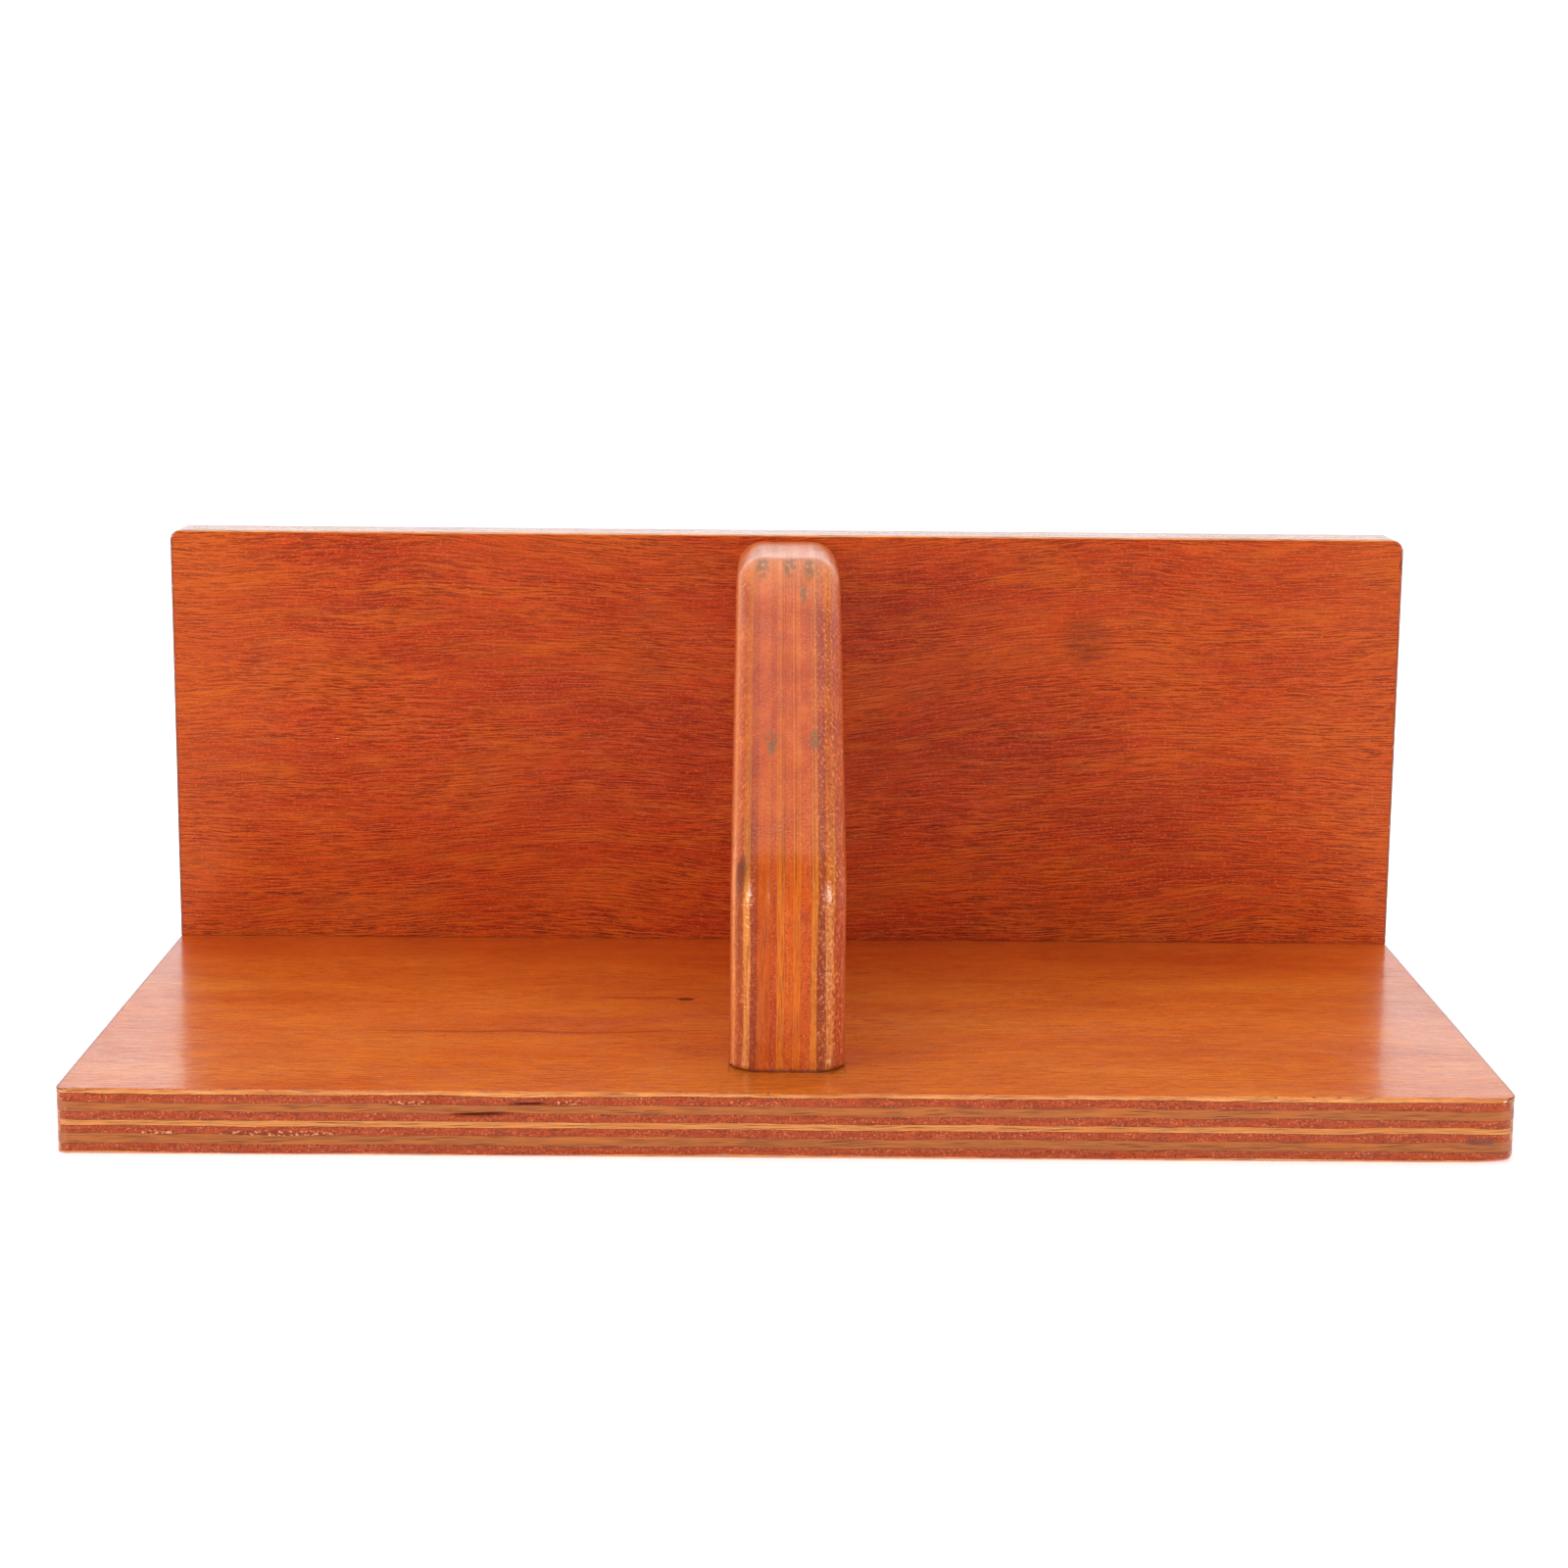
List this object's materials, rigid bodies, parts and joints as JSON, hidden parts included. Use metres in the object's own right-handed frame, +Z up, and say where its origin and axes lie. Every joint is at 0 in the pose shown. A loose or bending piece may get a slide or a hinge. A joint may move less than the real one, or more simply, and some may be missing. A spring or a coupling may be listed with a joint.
{
  "type": "seesaw",
  "caption": "Low braced stand of varnished plywood: a base board, an upright back board and a thick rounded centre brace, screwed together.",
  "frame": {"origin": "centre of the bounding box's bottom face, under the middle of the base board", "axes": "+X along the boards' long edges, +Y from the open front towards the back board, +Z up as the stand rests on its base"},
  "size_m": [0.4, 0.2, 0.153],
  "materials": {
    "base_plywood": "orange stain under glossy clear varnish",
    "back_plywood": "red-orange stain under glossy clear varnish",
    "brace_plywood": "striped ply edges under glossy clear varnish",
    "screw_steel": "yellow zinc plated"
  },
  "bodies": {
    "root": {"base_board": "base_plywood", "back_board": "back_plywood", "brace": "brace_plywood", "base_to_back_screw_1": "screw_steel", "base_to_back_screw_2": "screw_steel", "base_to_back_screw_3": "screw_steel", "base_to_back_screw_4": "screw_steel", "base_to_brace_screw_1": "screw_steel", "base_to_brace_screw_2": "screw_steel", "back_to_brace_screw_1": "screw_steel", "back_to_brace_screw_2": "screw_steel"}
  },
  "joints": []
}
